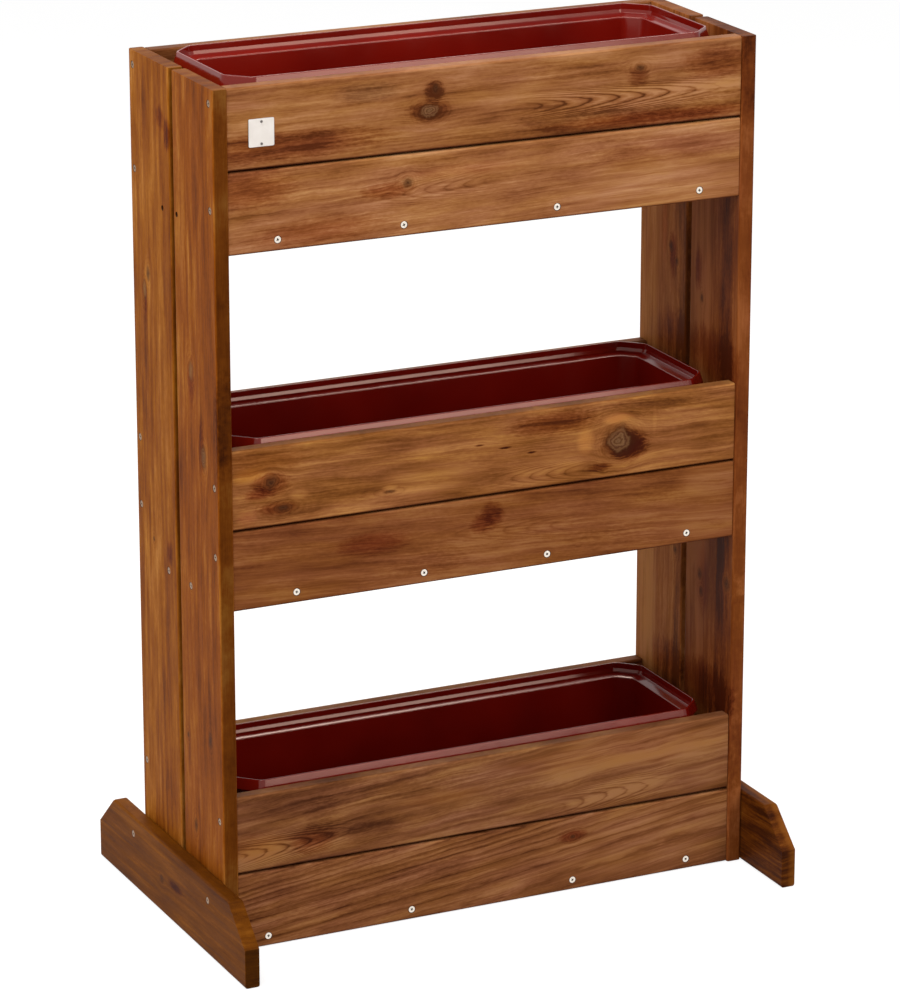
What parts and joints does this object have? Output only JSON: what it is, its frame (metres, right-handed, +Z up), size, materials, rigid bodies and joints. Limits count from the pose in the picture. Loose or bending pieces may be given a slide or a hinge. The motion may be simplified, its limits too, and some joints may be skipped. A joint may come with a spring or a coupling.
{
  "type": "raised wooden planter",
  "caption": "Tall stained wood planter stand: slatted boxes one above the other between two board ends on feet, each with a lift-out plastic tray.",
  "frame": {"origin": "on the ground under the middle of the planter", "axes": "+Z up, +X to the right seen from the front, -Y to the front"},
  "size_m": [0.7166, 0.45, 1.0253],
  "materials": {
    "stained_pine_ends": "brown-stained planed pine, satin",
    "stained_pine_slats": "brown-stained planed pine, satin",
    "stained_pine_floors": "brown-stained planed pine, matt",
    "stained_pine_feet": "brown-stained planed pine, satin",
    "tray_plastic": "glossy moulded plastic, deep terracotta red",
    "zinc_screws": "bright zinc plate",
    "plate_enamel": "plain white enamel on thin metal"
  },
  "bodies": {
    "frame": {"left_front_side_board": "stained_pine_ends", "left_back_side_board": "stained_pine_ends", "right_front_side_board": "stained_pine_ends", "right_back_side_board": "stained_pine_ends", "bottom_front_upper_slat": "stained_pine_slats", "bottom_front_lower_slat": "stained_pine_slats", "bottom_back_upper_slat": "stained_pine_slats", "bottom_back_lower_slat": "stained_pine_slats", "middle_front_upper_slat": "stained_pine_slats", "middle_front_lower_slat": "stained_pine_slats", "middle_back_upper_slat": "stained_pine_slats", "middle_back_lower_slat": "stained_pine_slats", "top_front_upper_slat": "stained_pine_slats", "top_front_lower_slat": "stained_pine_slats", "top_back_upper_slat": "stained_pine_slats", "top_back_lower_slat": "stained_pine_slats", "bottom_front_floor_board": "stained_pine_floors", "bottom_back_floor_board": "stained_pine_floors", "middle_front_floor_board": "stained_pine_floors", "middle_back_floor_board": "stained_pine_floors", "top_front_floor_board": "stained_pine_floors", "top_back_floor_board": "stained_pine_floors", "left_foot": "stained_pine_feet", "right_foot": "stained_pine_feet", "left_foot_front_screw": "zinc_screws", "left_foot_back_screw": "zinc_screws", "right_foot_front_screw": "zinc_screws", "right_foot_back_screw": "zinc_screws", "bottom_front_upper_slat_left_screw": "zinc_screws", "bottom_front_upper_slat_right_screw": "zinc_screws", "bottom_front_lower_slat_left_screw": "zinc_screws", "bottom_front_lower_slat_right_screw": "zinc_screws", "bottom_back_upper_slat_left_screw": "zinc_screws", "bottom_back_upper_slat_right_screw": "zinc_screws", "bottom_back_lower_slat_left_screw": "zinc_screws", "bottom_back_lower_slat_right_screw": "zinc_screws", "middle_front_upper_slat_left_screw": "zinc_screws", "middle_front_upper_slat_right_screw": "zinc_screws", "middle_front_lower_slat_left_screw": "zinc_screws", "middle_front_lower_slat_right_screw": "zinc_screws", "middle_back_upper_slat_left_screw": "zinc_screws", "middle_back_upper_slat_right_screw": "zinc_screws", "middle_back_lower_slat_left_screw": "zinc_screws", "middle_back_lower_slat_right_screw": "zinc_screws", "top_front_upper_slat_left_screw": "zinc_screws", "top_front_upper_slat_right_screw": "zinc_screws", "top_front_lower_slat_left_screw": "zinc_screws", "top_front_lower_slat_right_screw": "zinc_screws", "top_back_upper_slat_left_screw": "zinc_screws", "top_back_upper_slat_right_screw": "zinc_screws", "top_back_lower_slat_left_screw": "zinc_screws", "top_back_lower_slat_right_screw": "zinc_screws", "plate": "plate_enamel", "plate_upper_nail": "zinc_screws", "plate_lower_nail": "zinc_screws"},
    "top_tray": {"top_tray": "tray_plastic"},
    "middle_tray": {"middle_tray": "tray_plastic"},
    "bottom_tray": {"bottom_tray": "tray_plastic"}
  },
  "joints": [
    {"name": "top_tray_lift", "type": "slide", "parent": "frame", "child": "top_tray", "axis": [0, 0, 1], "range_m": [0, 0.19]},
    {"name": "middle_tray_lift", "type": "slide", "parent": "frame", "child": "middle_tray", "axis": [0, 0, 1], "range_m": [0, 0.19]},
    {"name": "bottom_tray_lift", "type": "slide", "parent": "frame", "child": "bottom_tray", "axis": [0, 0, 1], "range_m": [0, 0.19]}
  ]
}
